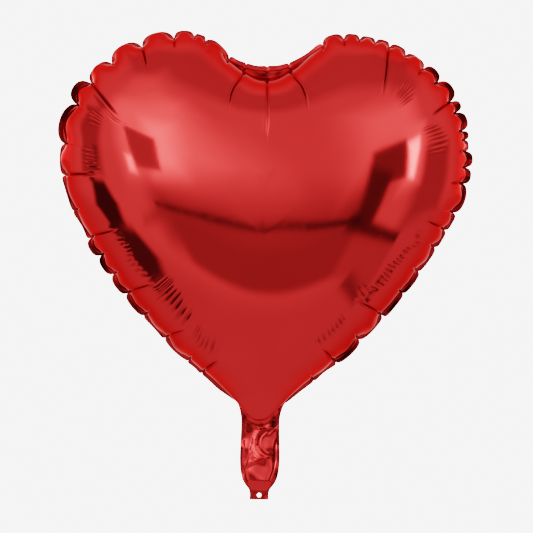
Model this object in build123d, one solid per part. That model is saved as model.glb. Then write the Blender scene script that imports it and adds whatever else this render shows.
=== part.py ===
"""Heart-shaped foil balloon: two film panels welded round the rim, a flat tail and a self-sealing valve.

Millimetres. +Z is up, the front faces -Y, and the rim's weld lies in the plane y = 0.
The origin is the float centre, the point that the gas lifts from. Films are far thinner on the
real thing than here, so each has a stand-in thickness that a solid can be made from.
"""
from build123d import *
import math
import os

# Heart outline, along the line where the domed film meets the flat rim: tangent arcs on each side.
lobe_offset = 74.0          # from the middle plane to the top of a lobe
lobe_top = 155.5            # height of the lobe tops above the float centre
lobe_outer_radius = 112.0   # shoulder of a lobe
lobe_inner_radius = 38.0    # side of a lobe that dips to the notch
notch_radius = 66.0         # hollow between the lobes
flank_radius = 485.0        # long side that runs down to the neck
flank_foot = (25.5, -177.0)  # a point near the neck that the flank passes through
tip_radius = 9.0            # rounded chin above the neck

# Inflated dome on each side of the weld.
half_depth = 92.0           # from the weld plane to the crown of one panel
section_angles = (90, 76, 62, 48, 34, 22, 12, 5, 1.5)  # degrees along the inflation curve

# Films and welds.
foil_thickness = 0.5
film_thickness = 0.2        # each leaf of the valve
weld_thickness = 0.2        # between the two valve leaves
rim_width = 5.0             # flat welded margin outside the dome
edge_seal_width = 4.0       # welded margin along each side of the tail and neck

# Neck and tail.
tail_width = 37.0
crease_height = -204.5      # fold line between neck and tail
crease_gap_above = 1.2      # neck's end to the fold line, so that the tail can fold flat
crease_gap_below = 0.3      # fold line to the tail's end
neck_fillet = 12.0
shoulder_height = -254.0    # where the tail starts to narrow
shoulder_fillet = 12.0
tab_neck_width = 17.2
tab_neck_height = -263.0
tab_neck_fillet = 3.0
tab_width = 18.6
tab_widest_height = -266.5
tab_bottom = -273.0
tab_corner = 1.6

# Tie hole in the tab.
tie_hole_radius = 2.2
tie_hole_height = -269.0

# Slight swell of the tail between its welds.
tail_puff = 3.5
puff_top_margin = 6.0       # flat foil kept below the fold
puff_side_margin = 1.5      # flat foil kept inside each edge seal
puff_bottom_margin = 8.0    # flat foil kept above the narrow part of the tab
puff_slope = 4.0            # how far the swell draws in on its way to the top
puff_corner = 6.0

# Self-sealing valve.
valve_reach = 42.0          # how far the valve's free end stands inside the balloon, above the fold
valve_foot = -251.0         # where the filling straw meets the valve
channel_width = 10.0
channel_bend = 4.5          # how far the channel swings to each side
channel_corner_radius = 12.0

# What the valve leaves and their weld leave between the two foils.
seam_half = weld_thickness / 2 + film_thickness
valve_width = tail_width - 2 * edge_seal_width


def inflation_height(share):
    """Height over the weld plane, 1 at the crown, of a bag blown up from film that can't stretch."""
    def area_under(low):
        steps = 400
        width = (math.pi / 2 - low) / steps
        return sum(math.sqrt(math.sin(low + (i + 0.5) * width)) for i in range(steps)) * width
    return area_under(math.asin(share ** 2)) / area_under(0.0)


def heart_arcs(grow=0.0):
    """The outline's right-hand arcs as (centre x, centre z, radius, start, end), angles in degrees."""
    notch, inner = notch_radius - grow, lobe_inner_radius + grow
    outer, flank, tip = lobe_outer_radius + grow, flank_radius + grow, tip_radius + grow
    inner_z = lobe_top - lobe_inner_radius
    outer_z = lobe_top - lobe_outer_radius
    notch_z = inner_z + math.sqrt((notch_radius + lobe_inner_radius) ** 2 - lobe_offset ** 2)
    notch_end = math.degrees(math.atan2(inner_z - notch_z, lobe_offset))

    # The flank is tangent to the outer lobe arc and passes through its foot.
    between = flank_radius - lobe_outer_radius
    foot_x, foot_z = flank_foot[0] - lobe_offset, flank_foot[1] - outer_z
    foot_reach = math.hypot(foot_x, foot_z)
    along = (flank_radius ** 2 - between ** 2 - foot_reach ** 2) / (2 * between * foot_reach)
    flank_start = math.atan2(foot_z, foot_x) + math.acos(along)
    flank_x = lobe_offset - between * math.cos(flank_start)
    flank_z = outer_z - between * math.sin(flank_start)

    # The chin's arc is centred on the middle plane and tangent to both flanks.
    tip_z = flank_z - math.sqrt((flank_radius - tip_radius) ** 2 - flank_x ** 2)
    flank_end = math.degrees(math.atan2(tip_z - flank_z, -flank_x))
    flank_start = math.degrees(flank_start)
    return [
        (0.0, notch_z, notch, -180 - notch_end, notch_end),
        (lobe_offset, inner_z, inner, 180 + notch_end, 90),
        (lobe_offset, outer_z, outer, 90, flank_start),
        (flank_x, flank_z, flank, flank_start, flank_end),
        (0.0, tip_z, tip, flank_end, -180 - flank_end),
    ]


def heart_face(grow=0.0, share=1.0):
    """The heart as a flat face, its outline moved out by grow and drawn in about the float centre by share."""
    def arc(x, z, radius, start, end):
        return CenterArc((share * x, share * z), share * radius, start, end - start)
    notch, inner, outer, flank, tip = heart_arcs(grow)
    right = [inner, outer, flank]
    left = [(-x, z, radius, 180 - end, 180 - start) for x, z, radius, start, end in reversed(right)]
    return make_face([arc(*values) for values in [notch, *right, tip, *left]])


def plate(face, low, high):
    """A face of the weld plane made into a plate between two distances in front of that plane."""
    return extrude(Plane.XZ.offset(low) * face, high - low)


def block(left, right, bottom, top):
    """A rectangle in the weld plane, from its four limits."""
    return Pos((left + right) / 2, (bottom + top) / 2) * Rectangle(right - left, top - bottom)


def dome(wall=0.0):
    """Solid under one inflated panel. A wall above 0 gives the hollow that leaves that much film."""
    notch_x, notch_z, notch, *_ = heart_arcs()[0]
    nearest_rim = notch_z - notch
    draw_in = 1 - wall / nearest_rim
    crown = half_depth - wall
    sections = []
    for angle in section_angles:
        share = math.sqrt(math.sin(math.radians(angle)))
        height = seam_half + (crown - seam_half) * inflation_height(share)
        sections.append(Plane.XZ.offset(height) * heart_face(share=share * draw_in))
    return loft(sections)


def neck_face():
    """The heart with its welded margin and the short neck below the chin."""
    half = tail_width / 2
    neck_end = crease_height + crease_gap_above
    face = heart_face(grow=rim_width) + block(-half, half, neck_end, flank_foot[1] + rim_width)
    corners = [v for v in face.vertices() if abs(abs(v.X) - half) < 0.01 and v.Y > neck_end + 1]
    return fillet(corners, neck_fillet)


def tail_face():
    """The tail's flat outline: straight sides, rounded shoulders and the tab."""
    half, neck, tab = tail_width / 2, tab_neck_width / 2, tab_width / 2
    right = [
        (half, crease_height - crease_gap_below),
        (half, shoulder_height),
        (neck, tab_neck_height),
        (tab, tab_widest_height),
        (tab, tab_bottom + tab_corner),
        (tab - tab_corner, tab_bottom),
    ]
    left = [(-x, z) for x, z in reversed(right)]
    face = make_face(Polyline(*right, *left, close=True))

    def at_height(height):
        return [v for v in face.vertices() if abs(v.Y - height) < 0.01]
    face = fillet(at_height(shoulder_height), shoulder_fillet)
    return fillet(at_height(tab_neck_height), tab_neck_fillet)


def puff(wall=0.0):
    """Solid under the swell of one tail foil. A wall above 0 gives the hollow under it."""
    low = tab_neck_height + puff_bottom_margin
    high = crease_height - crease_gap_below - puff_top_margin
    width = tail_width - 2 * (edge_seal_width + puff_side_margin)

    def section(inset, height):
        shape = RectangleRounded(width - 2 * inset, high - low - 2 * inset, puff_corner - inset / 2)
        return Plane.XZ.offset(height) * Pos(0, (low + high) / 2) * shape
    crown = seam_half + tail_puff + foil_thickness - wall
    return loft([section(wall, seam_half), section(wall + puff_slope, crown)])


def front_foil_panel():
    """Front film: inflated heart, flat margin round it and the neck below."""
    margin = plate(neck_face(), seam_half, seam_half + foil_thickness)
    return margin + dome() - dome(wall=foil_thickness)


def rim_heat_seal():
    """Fused layer between the two margins, open at the neck where the valve passes."""
    valve_slot = block(-valve_width / 2, valve_width / 2, crease_height, 0)
    return plate(neck_face() - heart_face() - valve_slot, -seam_half, seam_half)


def tail_front_foil():
    """Front film of the tail, with the tie hole in its tab."""
    leaf = plate(tail_face(), seam_half, seam_half + foil_thickness) + puff() - puff(wall=foil_thickness)
    hole = plate(Pos(0, tie_hole_height) * Circle(tie_hole_radius), 0, seam_half + 2 * foil_thickness)
    return leaf - hole


def tail_edge_seal(side):
    """Fused strip along one side of the tail, from the fold to the mouth; side is 1 or -1."""
    outline = tail_face()
    open_inside = offset(outline, -edge_seal_width, kind=Kind.INTERSECTION)
    half = tail_width / 2
    fold_end = crease_height - crease_gap_below
    mouth = tab_neck_width / 2 - edge_seal_width
    passage = block(-valve_width / 2, valve_width / 2, shoulder_height, fold_end)
    straw_way = block(-mouth, mouth, tab_bottom, shoulder_height)
    near, far = sorted((0.0, side * half))
    kept = block(near, far, tab_neck_height, fold_end)
    return plate((outline - open_inside - passage - straw_way) & kept, -seam_half, seam_half)


def valve_channel():
    """The filling channel between the valve's two leaves, a gentle S from end to end."""
    top = crease_height + valve_reach
    rise = (crease_height - valve_foot) / 4
    route = FilletPolyline(
        (0, valve_foot - channel_width),
        (0, valve_foot + rise / 2),
        (-channel_bend, valve_foot + 1.5 * rise),
        (channel_bend, valve_foot + 3 * rise),
        (0, crease_height),
        (0, top + channel_width),
        radius=channel_corner_radius,
    )
    return trace(route, channel_width)


def valve_leaf(low, high):
    """One stretch of the valve's outline, between two heights."""
    return block(-valve_width / 2, valve_width / 2, low, high)


def valve_film(low, high):
    """Front leaf of the valve between two heights."""
    return plate(valve_leaf(low, high), weld_thickness / 2, seam_half)


def valve_weld(low, high, side):
    """Weld on one side of the channel between two heights; side is 1 or -1."""
    near, far = sorted((0.0, side * valve_width / 2))
    strip = (valve_leaf(low, high) - valve_channel()) & block(near, far, low, high)
    return plate(strip, -weld_thickness / 2, weld_thickness / 2)


def rear(front):
    """The rear twin of a front piece."""
    return mirror(front, about=Plane.XZ)


throat = (crease_height + crease_gap_above, crease_height + valve_reach)
tail_valve = (valve_foot, crease_height - crease_gap_below)

front_panel = front_foil_panel()
tail_front = tail_front_foil()

pieces = {
    "front_foil_panel": front_panel,
    "rear_foil_panel": rear(front_panel),
    "rim_heat_seal": rim_heat_seal(),
    "valve_throat_front_film": valve_film(*throat),
    "valve_throat_rear_film": rear(valve_film(*throat)),
    "valve_throat_left_weld": valve_weld(*throat, side=-1),
    "valve_throat_right_weld": valve_weld(*throat, side=1),
    "tail_front_foil": tail_front,
    "tail_rear_foil": rear(tail_front),
    "tail_left_seal": tail_edge_seal(-1),
    "tail_right_seal": tail_edge_seal(1),
    "valve_front_film": valve_film(*tail_valve),
    "valve_rear_film": rear(valve_film(*tail_valve)),
    "valve_left_weld": valve_weld(*tail_valve, side=-1),
    "valve_right_weld": valve_weld(*tail_valve, side=1),
}

os.makedirs("parts", exist_ok=True)
for name, piece in pieces.items():
    export_step(piece, f"parts/{name}.step")
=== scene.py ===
"""Looks of a heart-shaped foil balloon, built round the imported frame.

Two metallised films are welded round a heart and along a flat filling tail. Every length is in
metres and every angle in degrees unless its name says otherwise; -Y is the front, +Z is up.
"""
import logging
import math
from dataclasses import dataclass
from enum import Enum

import bmesh
import bpy
import numpy as np
from mathutils import Euler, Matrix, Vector


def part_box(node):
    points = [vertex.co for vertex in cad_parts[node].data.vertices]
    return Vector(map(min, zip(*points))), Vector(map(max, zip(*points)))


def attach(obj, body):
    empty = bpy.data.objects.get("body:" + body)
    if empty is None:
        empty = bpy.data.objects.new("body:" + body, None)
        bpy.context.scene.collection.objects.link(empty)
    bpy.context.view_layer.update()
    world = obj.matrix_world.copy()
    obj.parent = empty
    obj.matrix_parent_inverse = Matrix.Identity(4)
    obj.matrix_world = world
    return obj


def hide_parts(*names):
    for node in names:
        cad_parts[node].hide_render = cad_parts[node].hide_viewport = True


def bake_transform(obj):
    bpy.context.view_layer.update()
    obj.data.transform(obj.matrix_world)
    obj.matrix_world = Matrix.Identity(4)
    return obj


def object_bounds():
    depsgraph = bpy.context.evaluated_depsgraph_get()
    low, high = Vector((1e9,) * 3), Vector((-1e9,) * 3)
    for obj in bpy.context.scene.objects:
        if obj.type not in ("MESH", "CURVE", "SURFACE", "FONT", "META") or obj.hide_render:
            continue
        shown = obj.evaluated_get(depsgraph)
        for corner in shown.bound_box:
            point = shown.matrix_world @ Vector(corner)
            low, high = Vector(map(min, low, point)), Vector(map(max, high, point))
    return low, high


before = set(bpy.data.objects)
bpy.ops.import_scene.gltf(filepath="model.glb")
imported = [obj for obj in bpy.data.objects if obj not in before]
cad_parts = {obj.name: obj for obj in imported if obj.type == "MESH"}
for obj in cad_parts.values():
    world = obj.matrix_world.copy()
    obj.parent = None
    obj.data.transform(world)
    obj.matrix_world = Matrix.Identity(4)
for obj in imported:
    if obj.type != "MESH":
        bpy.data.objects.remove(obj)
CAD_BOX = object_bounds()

LOG = logging.getLogger("foil_balloon")
MM = 0.001
NECK_TOP = -150 * MM
# The wave texture's Scale for bands a metre apart.
BANDS_IN_A_METRE = 0.05
Array = np.ndarray
Colour = tuple[float, ...]


class Side(Enum):
    """Which of the two films a sheet is; the value is the sign of y on that side."""

    FRONT = -1
    REAR = 1


def bump(distance: Array, width: float | Array) -> Array:
    """A smooth hump, 1 at distance 0 and near 0 beyond twice the width."""
    return np.exp(-((distance / width) ** 2))


def fade(share: Array) -> Array:
    """A smooth fall from 1 at share 0 to 0 at share 1 and beyond."""
    kept = np.clip(1 - share, 0, 1)
    return kept * kept * (3 - 2 * kept)


def ramp(value: Array, low: float, high: float) -> Array:
    """A smooth rise from 0 at low to 1 at high."""
    return 1 - fade((value - low) / (high - low))


def arch(across: Array) -> Array:
    """A round arch over a scallop, 1 in its middle and 0 at both ends."""
    return 4 * across * (1 - across)


def unit(ways: Array) -> Array:
    """Vectors drawn out or in to a length of 1."""
    return ways / np.linalg.norm(ways, axis=-1)[..., None]


@dataclass
class Ripple:
    """Seeded smooth noise along a line: a sum of sine waves of mixed length."""

    seed: int
    longest: float
    waves: int = 9
    shortest_share: float = 0.25

    def __post_init__(self) -> None:
        """Draws the waves."""
        draw = np.random.default_rng(self.seed)
        self.lengths = self.longest * draw.uniform(self.shortest_share, 1.0, self.waves)
        self.turns = draw.uniform(0, 2 * math.pi, self.waves)
        self.headings = draw.uniform(0, math.pi, self.waves)

    def along(self, place: Array) -> Array:
        """Noise along one coordinate, about -1 to 1."""
        waves = (np.sin(2 * math.pi * place / n + t) for n, t in zip(self.lengths, self.turns))
        return sum(waves) / math.sqrt(self.waves)

    def across(self, first: Array, second: Array) -> Array:
        """Noise over two coordinates, about -1 to 1.

        Args:
            first: first coordinate of each point.
            second: second coordinate of each point.

        Returns:
            The noise at each point.
        """
        total = 0.0
        for length, turn, heading in zip(self.lengths, self.turns, self.headings):
            place = first * math.cos(heading) + second * math.sin(heading)
            total = total + np.sin(2 * math.pi * place / length + turn)
        return total / math.sqrt(self.waves)


@dataclass(frozen=True)
class Crease:
    """A sharp fold that runs inward from the weld.

    Attributes:
        angle: place on the rim, clockwise from the notch as seen from the front.
        reach: length as seen from the front.
        depth: depth of the fold where it leaves the weld.
        swing: how far the inner end drifts clockwise, measured along the rim.
        full: how far the scallop that follows it clockwise swells, as a share of its width.
    """

    angle: float
    reach: float
    depth: float = 1.2 * MM
    swing: float = 0.0
    full: float = 0.22


@dataclass(frozen=True)
class Comb:
    """A row of fine short ridges where the film's slack is taken up.

    Attributes:
        start: where the row starts, clockwise from the notch.
        end: where it ends.
        inset: how far inside the weld its middle lies, as seen from the front.
        length: length of each ridge.
        height: height of each ridge.
        slant: how much further inside its end lies than its start.
    """

    start: float
    end: float
    inset: float
    length: float = 9 * MM
    height: float = 0.28 * MM
    slant: float = 0.0


@dataclass(frozen=True)
class Heart:
    """The weld line of the inflated heart: tangent arcs, and the dome that rises from it.

    Attributes:
        centre_height: height of the point that the mesh's columns run to.
        harmonics: number of harmonic functions in the membrane's sag.
        settle_power: how steeply what is left over at the weld is taken off.
        crest_search: how far above and below the origin the dome's highest point is looked for.
    """

    lobe_offset: float = 74 * MM
    lobe_inner_radius: float = 38 * MM
    notch_radius: float = 66 * MM
    flank_radius: float = 485 * MM
    flank_foot: tuple[float, float] = (25.5 * MM, -177 * MM)
    tip_radius: float = 9 * MM
    margin: float = 5 * MM
    centre_height: float = 5 * MM
    harmonics: int = 30
    settle_power: int = 6
    crest_search: float = 100 * MM

    def arcs(self) -> list[tuple[float, float, float, float, float]]:
        """Arcs of the right half, from the notch to the tip.

        Returns:
            Centre x, centre z, radius, start angle and end angle in radians of each arc.
        """
        low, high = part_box("front_foil_panel")
        top = high.z - self.margin
        outer = high.x - self.margin - self.lobe_offset
        inner_z, outer_z = top - self.lobe_inner_radius, top - outer
        reach = self.notch_radius + self.lobe_inner_radius
        notch_z = inner_z + math.sqrt(reach ** 2 - self.lobe_offset ** 2)
        notch_end = math.atan2(inner_z - notch_z, self.lobe_offset)
        between = self.flank_radius - outer
        foot_x, foot_z = self.flank_foot[0] - self.lobe_offset, self.flank_foot[1] - outer_z
        foot_reach = math.hypot(foot_x, foot_z)
        along = self.flank_radius ** 2 - between ** 2 - foot_reach ** 2
        flank_start = math.atan2(foot_z, foot_x) + math.acos(along / (2 * between * foot_reach))
        flank_x = self.lobe_offset - between * math.cos(flank_start)
        flank_z = outer_z - between * math.sin(flank_start)
        tip_z = flank_z - math.sqrt((self.flank_radius - self.tip_radius) ** 2 - flank_x ** 2)
        flank_end = math.atan2(tip_z - flank_z, -flank_x)
        return [
            (0.0, notch_z, self.notch_radius, -math.pi / 2, notch_end),
            (self.lobe_offset, inner_z, self.lobe_inner_radius, math.pi + notch_end, math.pi / 2),
            (self.lobe_offset, outer_z, outer, math.pi / 2, flank_start),
            (flank_x, flank_z, self.flank_radius, flank_start, flank_end),
            (0.0, tip_z, self.tip_radius, flank_end, -math.pi / 2),
        ]

    def line(self, per_arc: int = 400) -> Array:
        """The weld line as a dense closed run of (x, z) points, clockwise from the notch."""
        runs = []
        for x, z, radius, start, end in self.arcs():
            turn = np.linspace(start, end, per_arc)[:-1]
            runs.append(np.c_[x + radius * np.cos(turn), z + radius * np.sin(turn)])
        right = np.concatenate(runs)
        tip = np.array([[0.0, runs[-1][-1, 1]]])
        return np.concatenate([right, tip, right[:0:-1] * [-1, 1]])

    def depth(self, x: Array, z: Array, share: Array, rim_x: Array, rim_z: Array) -> Array:
        """Height of the inflated dome over the weld plane.

        The film's slack is shared as in a round bag of film that can't stretch. What stands in
        for the radius is a membrane's sag under even pressure: a sum of harmonic functions that
        cancels the paraboloid's height all round the weld.

        Args:
            x: place of each point.
            z: place of each point.
            share: each point's share of the way from the heart's centre to the weld.
            rim_x: place of the weld point beyond each point.
            rim_z: place of the weld point beyond each point.

        Returns:
            The height of each point, above 0.
        """
        low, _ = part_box("front_foil_panel")
        line = self.line(60)
        scale = abs(line).max()

        def turned(px: Array, pz: Array) -> Array:
            """Places as complex numbers about the heart's centre."""
            return ((pz - self.centre_height) + 1j * px) / scale

        def terms(place: Array) -> Array:
            """The harmonic functions at places, one per entry of the last axis."""
            return np.stack([(place ** n).real for n in range(self.harmonics)], -1)

        def sag(place: Array) -> Array:
            """The membrane's height at places, before scaling."""
            return terms(place) @ weights - abs(place) ** 2 / 4

        edge = turned(line[:, 0], line[:, 1])
        weights, *_ = np.linalg.lstsq(terms(edge), abs(edge) ** 2 / 4, rcond=1e-12)
        upright = np.linspace(-self.crest_search, self.crest_search, 200)
        crest = sag(turned(np.zeros(len(upright)), upright)).max()
        left_over = sag(turned(rim_x, rim_z))
        relative = (sag(turned(x, z)) - left_over * share ** self.settle_power) / crest
        turn = np.linspace(0, math.pi / 2, 3001)
        rise = np.sqrt(np.sin(turn))
        area = np.r_[0, np.cumsum((rise[1:] + rise[:-1]) / 2)]
        profile = 1 - area / area[-1]
        return -low.y * np.interp(np.arcsin(np.clip(1 - relative, 0, 1)), turn, profile)


RIGHT_CREASES = [
    Crease(0.5, 68 * MM, 1.6 * MM, 2 * MM, full=0.01),
    Crease(10, 60 * MM, 1.6 * MM, 60 * MM, full=0.05),
    Crease(20, 9 * MM),
    Crease(25.5, 12 * MM, swing=3 * MM, full=0.25),
    Crease(30, 8 * MM, full=0.27),
    Crease(34.5, 8 * MM),
    Crease(38.5, 48 * MM, 1.8 * MM, 32 * MM),
    Crease(43.5, 8 * MM),
    Crease(49.75, 13 * MM, full=0.17),
    Crease(55, 8 * MM, full=0.24),
    Crease(61.5, 27 * MM, 1.8 * MM, 5 * MM, full=0.26),
    Crease(64.75, 5 * MM),
    Crease(70, 6 * MM, full=0.28),
    Crease(72.5, 4 * MM),
    Crease(75.5, 9 * MM, full=0.24),
    Crease(80, 4 * MM, full=0.2),
    Crease(84.5, 15 * MM, full=0.13),
    Crease(93, 5 * MM, full=0.11),
    Crease(98.5, 23 * MM, 1.6 * MM, -5 * MM, full=0.12),
    Crease(104.5, 5 * MM, full=0.09),
    Crease(114, 6 * MM, full=0.04),
    Crease(123, 4 * MM, full=0.03),
    Crease(133.5, 28 * MM, 1.8 * MM, 9 * MM, full=0.11),
    Crease(145, 8 * MM, full=0.08),
    Crease(155.5, 19 * MM, 1.6 * MM, 7 * MM, full=0.04),
    Crease(164, 5 * MM, full=0.01),
]
LEFT_CREASES = [
    Crease(351, 62 * MM, 1.6 * MM, -54 * MM, full=0.01),
    Crease(345, 6 * MM, full=0.03),
    Crease(338.75, 8 * MM, full=0.18),
    Crease(336, 5 * MM),
    Crease(330.25, 17 * MM, swing=-6 * MM, full=0.23),
    Crease(320.75, 30 * MM, 2.0 * MM, -13 * MM),
    Crease(311, 10 * MM, full=0.24),
    Crease(303, 44 * MM, 2.2 * MM, -16 * MM, full=0.26),
    Crease(296, 6 * MM),
    Crease(284.75, 6 * MM, full=0.12),
    Crease(276, 33 * MM, 1.8 * MM, 4 * MM, full=0.12),
    Crease(266, 5 * MM, full=0.03),
    Crease(256.7, 30 * MM, 2.0 * MM, full=0.03),
    Crease(250.25, 5 * MM, full=0.15),
    Crease(242.75, 5 * MM, full=0.17),
    Crease(234.6, 27 * MM, 1.8 * MM, -10 * MM, full=0.12),
    Crease(225, 7 * MM, full=0.08),
    Crease(214.5, 20 * MM, 1.8 * MM, -14 * MM, full=0.05),
    Crease(204, 5 * MM, full=0.08),
    Crease(198.6, 21 * MM, 1.7 * MM, -13 * MM, full=0.01),
]
FRONT_COMBS = [
    Comb(299, 303, 40 * MM),
    Comb(291, 299, 24 * MM, 7 * MM),
    Comb(276, 286, 27 * MM, 7 * MM),
    Comb(236, 256, 28 * MM, 5 * MM, 0.22 * MM),
    Comb(214, 235, 33 * MM, 11 * MM, 0.36 * MM),
    Comb(199, 212, 27 * MM, 9 * MM, 0.22 * MM),
    Comb(45, 56, 34 * MM),
    Comb(64, 76, 26 * MM),
    Comb(101, 136, 20 * MM, 4.5 * MM, 0.24 * MM, 11 * MM),
    Comb(144, 158, 28 * MM, 5 * MM, 0.24 * MM),
]
REAR_COMBS = [
    Comb(20, 31, 30 * MM),
    Comb(52, 66, 30 * MM),
    Comb(96, 118, 33 * MM),
    Comb(140, 156, 30 * MM),
    Comb(204, 222, 32 * MM),
    Comb(238, 252, 34 * MM),
    Comb(280, 292, 26 * MM),
    Comb(315, 326, 34 * MM),
]
# Scallops whose margin folds forward into sight: an angle inside each, and how much wider it grows.
FORWARD_CELLS = {
    299.6: 1.0,
    290: 0.9,
    254: 0.45,
    246.9: 0.4,
    239.5: 0.3,
    230: 0.2,
    52: 0.35,
    58.4: 0.6,
    62.8: 0.45,
    67: 0.6,
    71.2: 0.2,
    78: 0.55,
    82: 0.3,
    90: 0.2,
    118: 0.2,
    128: 0.25,
    150: 0.4,
}


def film_reach(seen: Array) -> Array:
    """Distance along the film for a distance inside the weld as seen from the front."""
    return 77 * MM * np.sqrt(seen / (46 * MM)) + 0.2 * seen


@dataclass
class Weld:
    """The welded rim: mesh columns, scallops between creases, and the bend of the long creases.

    Attributes:
        plain_pitch: distance between columns where nothing asks for more of them.
        crease_pitch: distance between columns at a crease; comb_pitch and neck_pitch are alike.
        notch_span: creases this near to the notch get columns twice as close.
        dense_reach: how far beside a crease the columns stay close.
        swing_power: how the bend of a swinging crease grows along it.
        swing_spread: how far the film beyond it bends too, as a multiple of its swing.
        swing_room: what is added to that.
        near_room: how far the film on its other side bends at most.
    """

    heart: Heart
    creases: list[Crease]
    combs: list[Comb]
    plain_pitch: float = 2.1 * MM
    crease_pitch: float = 0.42 * MM
    comb_pitch: float = 1.0 * MM
    neck_pitch: float = 0.6 * MM
    notch_span: float = 25 * MM
    neck_reach: float = 34 * MM
    dense_reach: float = 1.9 * MM
    swing_power: float = 1.3
    swing_spread: float = 1.6
    swing_room: float = 16 * MM
    near_room: float = 32 * MM
    seed: int = 11

    def __post_init__(self) -> None:
        """Lays out the columns and reads each one's place on the rim."""
        line = self.heart.line()
        closed = np.r_[line, line[:1]]
        walked = np.r_[0, np.cumsum(np.hypot(*np.diff(closed, axis=0).T))]
        self.length = walked[-1]
        about = np.degrees(np.arctan2(closed[:, 0], closed[:, 1] - self.heart.centre_height)) % 360
        about[-1] = 360
        places = np.interp([c.angle for c in self.creases], about, walked)
        order = np.argsort(places)
        self.creases = [self.creases[i] for i in order]
        self.places = places[order]
        self.comb_spans = [tuple(np.interp([c.start, c.end], about, walked)) for c in self.combs]
        self.s = self.column_places()
        self.columns = len(self.s)
        self.rim = np.c_[np.interp(self.s, walked, closed[:, 0]), np.interp(self.s, walked, closed[:, 1])]
        ahead = unit(np.roll(self.rim, -1, 0) - np.roll(self.rim, 1, 0))
        self.outward = np.c_[-ahead[:, 1], ahead[:, 0]]
        self.angle = np.interp(self.s, walked, about)
        self.span = np.hypot(self.rim[:, 0], self.rim[:, 1] - self.heart.centre_height)

    def column_places(self) -> Array:
        """Places of the mesh columns along the weld, close at creases, combs and the neck."""
        dense = np.linspace(0, self.length, 24001)
        density = np.full(len(dense), 1 / self.plain_pitch)
        for low, high in self.comb_spans:
            density[(dense > low) & (dense < high)] = 1 / self.comb_pitch
        density[abs(dense - self.length / 2) < self.neck_reach] = 1 / self.neck_pitch
        for place in self.places:
            apart = abs(self.apart(dense, place))
            pitch = self.crease_pitch * (0.5 if abs(self.apart(place, 0.0)) < self.notch_span else 1.0)
            rise = (1 / pitch - density) * fade(apart / (2 * self.dense_reach))
            density = density + np.maximum(rise, 0)
        count = np.r_[0, np.cumsum((density[1:] + density[:-1]) / 2 * np.diff(dense))]
        columns = int(count[-1])
        return np.interp(np.arange(columns) * count[-1] / columns, count, dense)

    def apart(self, place: Array | float, other: Array | float) -> Array:
        """Signed distance along the weld from one place to others, the shorter way round."""
        return (place - other + self.length / 2) % self.length - self.length / 2

    def near_notch(self, width: float) -> Array:
        """1 at the columns by the notch, 0 well beyond the given width."""
        return bump(self.apart(self.s, 0.0), width)

    def flat_outward(self) -> Array:
        """Each column's outward way in the weld's plane, as a vector of three."""
        return np.c_[self.outward[:, 0], np.zeros(self.columns), self.outward[:, 1]]

    def scallop(self) -> tuple[Array, Array, Array]:
        """Where each column lies in its scallop.

        Returns:
            The scallop's number, the share of the way across it and its width.
        """
        number = np.searchsorted(self.places, self.s, side="right") - 1
        starts = self.places[number]
        widths = np.diff(np.r_[self.places, self.places[0] + self.length])[number]
        across = ((self.s - starts) % self.length) / widths
        return number % len(self.places), across, widths

    def fullness(self) -> Array:
        """How far each column's scallop swells, as a share of its width."""
        return np.array([crease.full for crease in self.creases])[self.scallop()[0]]

    def swung(self, share: float) -> Array:
        """Places along the weld that a row of points starts from, bent to follow the long creases.

        Args:
            share: the row's share of the way from the heart's centre to the weld.

        Returns:
            One place along the weld per column.
        """
        moved = self.s.copy()
        for crease, place in zip(self.creases, self.places):
            if crease.swing:
                span = np.interp(place, self.s, self.span)
                gone = min((1 - share) * span / crease.reach, 1.0)
                beyond = self.apart(self.s, place) * math.copysign(1.0, crease.swing)
                wide = self.swing_spread * abs(crease.swing) + self.swing_room
                nearby = fade(np.maximum(beyond / wide, -beyond / min(wide, self.near_room)))
                moved = moved + crease.swing * gone ** self.swing_power * nearby
        return moved

    def rim_at(self, place: Array) -> Array:
        """The weld's (x, z) at places along it."""
        wrapped = np.r_[self.s - self.length, self.s, self.s + self.length]
        rims = np.concatenate([self.rim] * 3)
        return np.c_[np.interp(place, wrapped, rims[:, 0]), np.interp(place, wrapped, rims[:, 1])]


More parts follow.
